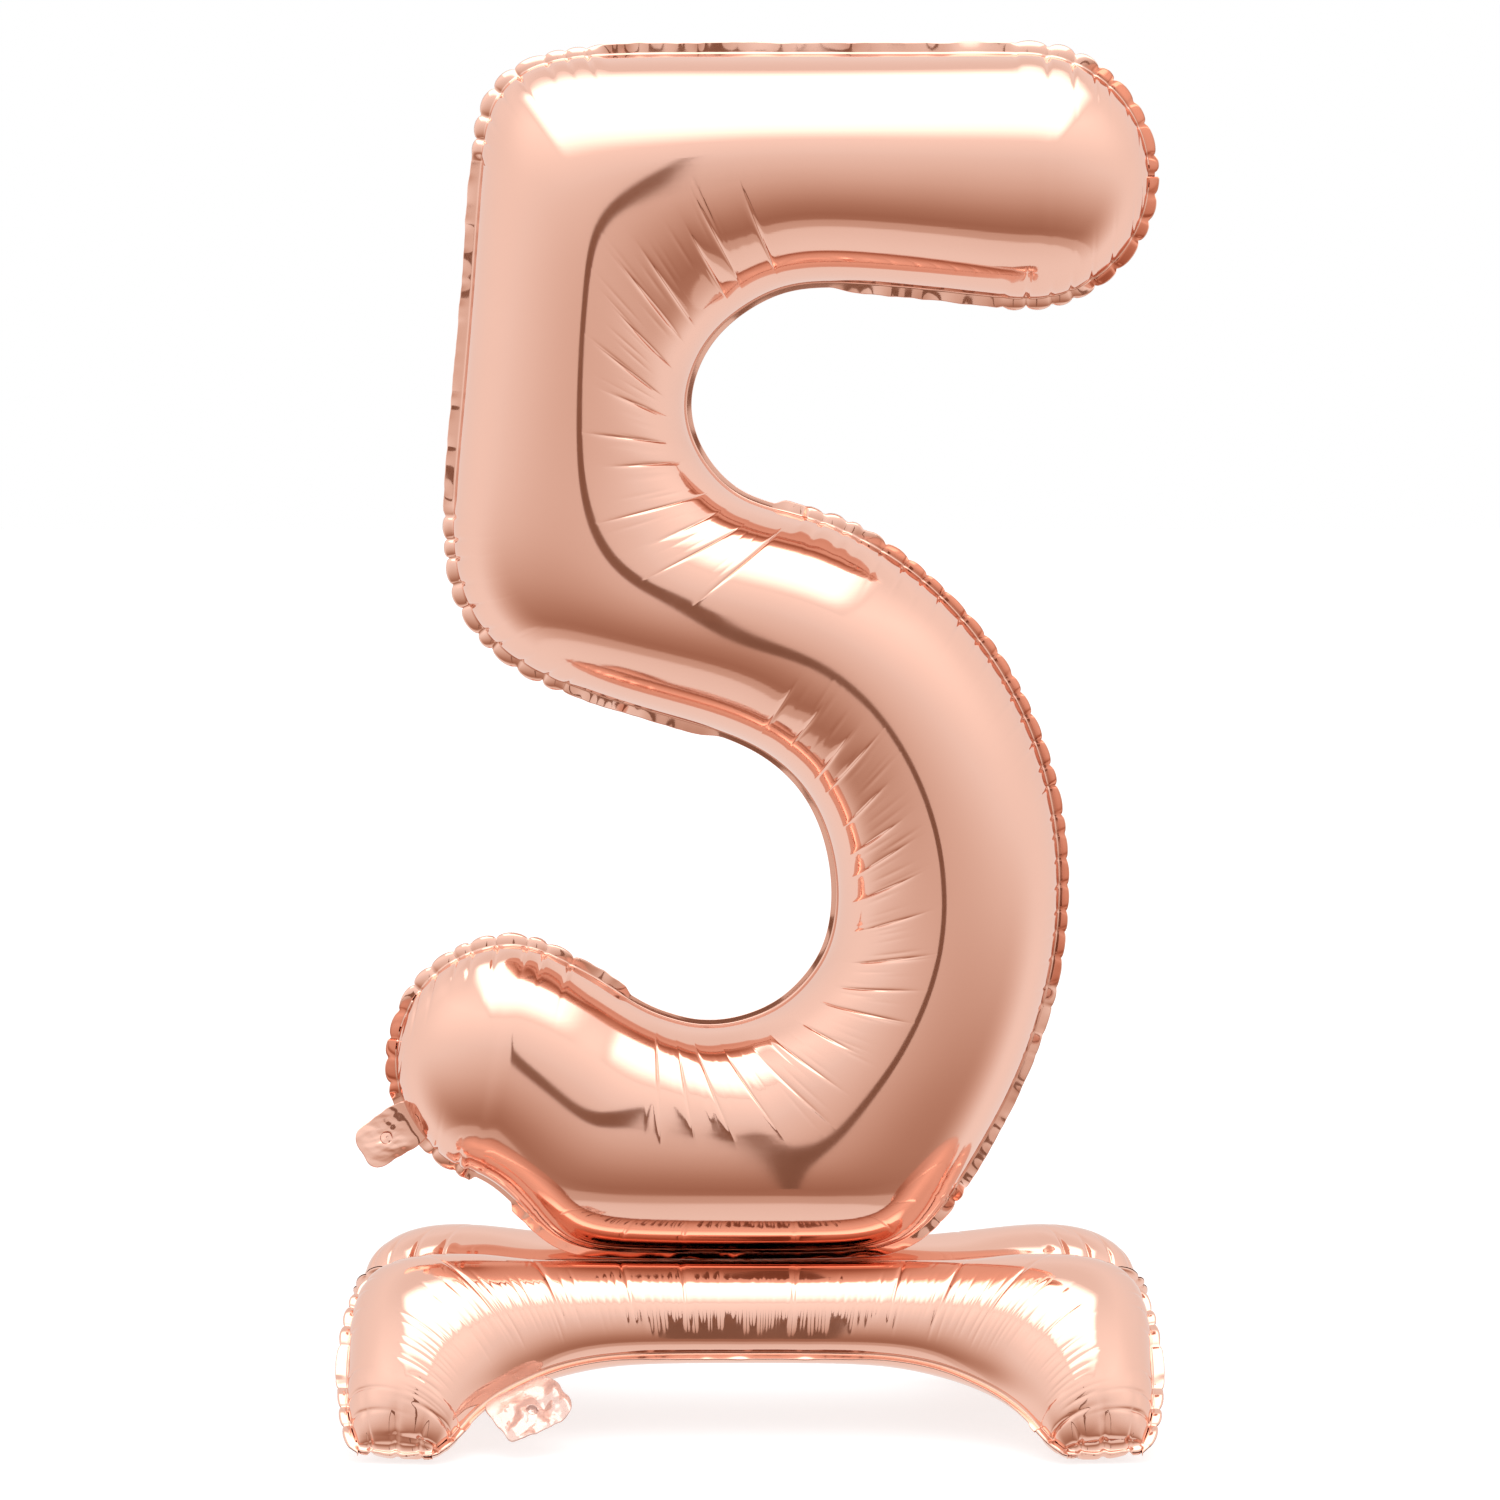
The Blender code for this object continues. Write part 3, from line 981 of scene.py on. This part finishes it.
def foot_pleats(tube):
    """Deep pleats that run back from the end seam of each foot."""
    t = np.linspace(0, tube.last, 4000)
    a, b = tube.seams(t)
    arc = lengths((a + b) / 2)

    def push(rows, v):
        along = np.interp(rows, t, arc)
        from_end = np.minimum(along, arc[-1] - along)
        total = np.zeros((len(rows), len(v)))
        for place, reach, depth in FOOT_PLEATS:
            groove = np.exp(-((np.abs(v - place) / PLEAT_WIDTH) ** 1.5))
            total -= depth * np.exp(-((from_end / reach) ** 1.5))[:, None] * groove[None, :]
        return total

    return push


def soft_floor(values, floor, softness):
    """Values raised above a floor, with a rounded turn instead of a kink."""
    return floor + softness * np.logaddexp(0, (values - floor) / softness)


def rest_on_floor(world):
    """Flattens the foil that would dip below the floor. Only points just above it are touched."""
    low = soft_floor(world[..., 2], FLOOR_GAP, FLOOR_SOFTNESS)
    world = world.copy()
    world[..., 2] = np.where(world[..., 2] < 10 * FLOOR_SOFTNESS, low, world[..., 2])
    return world


# Distances in metres over which the room for swinging starts: below the weld, out from the middle
# plane, and sideways, where it ends with the figure's foot.
ROOM_BELOW = (6 * MM, 12 * MM)
ROOM_OUT = (4 * MM, 12 * MM)
ROOM_SIDE = (105 * MM, 150 * MM)


def leave_room(world, outward, inner):
    """Room to swing: inner sheets stay off the other leg's, and outer sheets off the figure's foot."""
    world = world.copy()
    rise = world[..., 2] - WELD_Z
    out = world[..., 1] * outward
    if inner:
        kept = soft_floor(out, -rise * math.tan(SWING_IN), ROOM_SOFTNESS)
        world[..., 1] = (out + (kept - out) * step(-rise, *ROOM_BELOW)) * outward
    else:
        kept = -soft_floor(-rise, -out * math.tan(UNDER_FIGURE), ROOM_SOFTNESS)
        under = step(out, *ROOM_OUT) * (1 - step(np.abs(world[..., 0]), *ROOM_SIDE))
        world[..., 2] += (kept - rise) * under
    return world


# Width of the welded margin past each foot in mm, and how many rows in the foot's direction is taken.
END_MARGIN = 4.2
END_ROWS = 6


def end_margins(grid):
    """Adds the flat welded margin past each foot, scalloped between its pleats."""
    across = np.linspace(0, 1, grid.shape[1])
    scallop = 0.55 + 0.45 * np.abs(np.sin(math.pi * (4 * across + 0.5))) ** 0.5
    scallop *= np.clip(np.sin(math.pi * across) * 2.5, 0, 1) ** 0.5
    rims = []
    for last, before in ((grid[0], grid[END_ROWS]), (grid[-1], grid[-1 - END_ROWS])):
        way = (last - before).mean(axis=0) * (1, 0, 1)
        way /= np.linalg.norm(way)
        rims.append([last + way * END_MARGIN * share * scallop[:, None] for share in (0.5, 1.0)])
    return np.concatenate([np.array(rims[0][::-1]), grid, np.array(rims[1])])


def leg_creases(tube, seed):
    """Fine short creases all along the leg's hollow side, and a few deep ones right across it."""
    noise = np.random.default_rng(seed)
    creases = []
    for place in tube.places(1.5, tube.last - 1.5, 0.6, 3.6, 0.35, 51):
        low = noise.uniform(0.42, 0.55)
        high = noise.uniform(0.72, 0.86)
        creases.append(Crease(place, low, high, noise.uniform(0.08, 0.42), 0.75, noise.uniform(-1.2, 1.2)))
    for place in tube.places(4.6, tube.last - 4.6, 0.5, 43, 0.3, 52):
        low = noise.uniform(0.1, 0.3)
        high = noise.uniform(0.75, 0.86)
        creases.append(Crease(place, low, high, noise.uniform(0.6, 1.1), 0.9, noise.uniform(-2, 2)))
    return creases


def leg_fins(b, edges):
    calm = near(b, LEG_TAB_ROOT, 30)
    return (
        fin_shape(edges[0], FIN_FLAT + 0.6, 0.4, 61, lobe_width=5.8, ruffle=0.8),
        fin_shape(edges[1], FIN_FLAT - 2, 0.4, 71, calm, lobe_width=4.5, ruffle=0.3),
    )


# Each sheet of a leg: label, side, bulge for each mm of half width, most bulge in mm and seed.
LEG_SHEETS = (("outer", -1, 1.04, 48, 21), ("inner", 1, 0.98, 37, 22))


def make_leg(name, turn, foil):
    matrix = np.array(leg_matrix(turn))
    for label, side, bulge, most, seed in LEG_SHEETS:
        tube = leg_tube(bulge, most)
        t = tube.rows(LEG_ROWS)
        a, b = tube.seams(t)
        edges = seam_edges(a, b)
        fins = leg_fins(b, edges)
        grid = panel_grid(tube, t, side, leg_creases(tube, seed), [foot_pleats(tube)], fins, LEG_COLUMNS)
        grid = end_margins(with_fins(grid, (a, b), edges, fins, side))
        grid = leave_seam(grid, side) * MM
        world = grid @ matrix[:3, :3].T + matrix[:3, 3]
        world = leave_room(rest_on_floor(world), -math.cos(turn), side > 0)
        node = f"{name}_{label}_panel"
        mesh = shell_mesh(node, world, FILM, side > 0)
        obj = add_piece(f"{name}_{label}_foil", mesh, foil, node)
        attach(obj, name)


# ---------------------------------------------------------------- filling tabs


# Points round a tab's ring and from its hole to its rim.
TAB_ROUND = 120
TAB_ACROSS = 30
# A tab's outline is a rectangle with rounded corners, sharper with a greater power.
TAB_POWER = 5
# Least space between a tab's middle surface and each layer, and the most that puffing adds, in mm.
TAB_SPACE = 0.3
TAB_PUFF = 1.1
# Longest folds, in mm, of a whole tab and of one layer.
TAB_FOLD = 24
LAYER_FOLD = 12


def crumple(x, y, seed, longest, octaves=5):
    """Sharp folds in several directions, between about -1 and 1, each set shorter than the last."""
    noise = np.random.default_rng(seed)
    total = 0
    for index in range(octaves):
        angle = noise.uniform(0, math.pi)
        wave = longest * 0.72**index
        phase = noise.uniform(0, 2 * math.pi)
        along = x * math.cos(angle) + y * math.sin(angle)
        bend = 0.8 * np.sin((x * math.sin(angle) - y * math.cos(angle)) / wave * 2.1 + phase)
        zigzag = np.clip(np.sin(along / wave * 2 * math.pi + phase + bend), -0.995, 0.995)
        total = total + np.arcsin(zigzag) * 2 / math.pi * 0.62**index
    return total / 1.9


def tab_grid(width, length, front, seed, depth, octaves, curl):
    """One layer of a tab, as a ring about its filling hole: local x, y and height, in mm."""
    hole = HOLE_RADIUS if front else SHUT_HOLE
    turns = np.linspace(0, 2 * math.pi, TAB_ROUND, endpoint=False)
    radii = np.linspace(0, 1, TAB_ACROSS)[:, None]
    half_x, half_y = width / 2, (length + TAB_TUCK) / 2
    corner = np.abs(np.cos(turns) / half_x) ** TAB_POWER + np.abs(np.sin(turns) / half_y) ** TAB_POWER
    reach = corner ** (-1 / TAB_POWER)
    ragged = 1 + 0.025 * np.sin(3 * turns + seed) + 0.012 * np.sin(11 * turns + 2 * seed)
    outline_x = reach * np.cos(turns) * ragged
    outline_y = reach * np.sin(turns) * ragged + (length - TAB_TUCK) / 2
    x = hole * np.cos(turns) * (1 - radii) + outline_x * radii
    y = (hole * np.sin(turns) + length / 2) * (1 - radii) + outline_y * radii
    free = step(y, -1, 12)
    folds = crumple(x, y, seed, TAB_FOLD, octaves) * depth * free
    own = 0.6 + 0.4 * crumple(x, y, seed + (1 if front else 2), LAYER_FOLD)
    apart = TAB_SPACE + TAB_PUFF * free * (1 - radii**4) * own
    rise = curl * (np.maximum(y, 0) / length) ** 2
    return np.stack([x, y, rise + folds + apart * (1 if front else -1)], axis=-1)


def make_tab(body, tab, parent_matrix, material, depth, seed, octaves, curl=0):
    """Two crumpled layers that grow out of the seam of their parent body."""
    name = f"{body}_tab"
    (root_x, root_z), (way_x, way_z), width, length = tab
    turn = math.atan2(way_z, way_x) - math.pi / 2
    flat = Matrix.Rotation(math.pi / 2, 4, "X") @ Matrix.Rotation(turn, 4, "Z")
    place = parent_matrix @ Matrix.Translation((root_x * MM, 0, root_z * MM)) @ flat
    place = place @ Matrix.Translation((0, TAB_GAP * MM, 0))
    place_rows = np.array(place)
    for label, front in (("front", True), ("rear", False)):
        grid = tab_grid(width, length, front, seed, depth, octaves, curl) * MM
        world = grid @ place_rows[:3, :3].T + place_rows[:3, 3]
        piece = f"{name}_{label}_sheet"
        mesh = shell_mesh(piece, world, FILM, front, ring=True)
        obj = add_piece(piece, mesh, material, f"{name}_{label}_layer")
        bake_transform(obj)


def clear_valves(material):
    """The valves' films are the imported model's own shapes, and only take the clear film's look."""
    for name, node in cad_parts.items():
        if "valve" in name:
            node.data.materials.clear()
            node.data.materials.append(material)


# ---------------------------------------------------------------- assembly

add_camera()
add_studio()
FOIL = foil_material()
CLEAR = film_material()
# Each leg's turn about the upright axis, and the seed of its tab's folds.
LEGS = (("front_leg", 0, 4), ("rear_leg", math.pi, 6))
make_number(FOIL)
for leg, leg_turn, _ in LEGS:
    make_leg(leg, leg_turn, FOIL)
make_tab("number", NUMBER_TAB, Matrix.Identity(4), FOIL, depth=1.1, seed=3, octaves=2, curl=8)
for leg, leg_turn, tab_seed in LEGS:
    make_tab(leg, LEG_TAB, leg_matrix(leg_turn), CLEAR, depth=3.0, seed=tab_seed, octaves=4)
clear_valves(CLEAR)
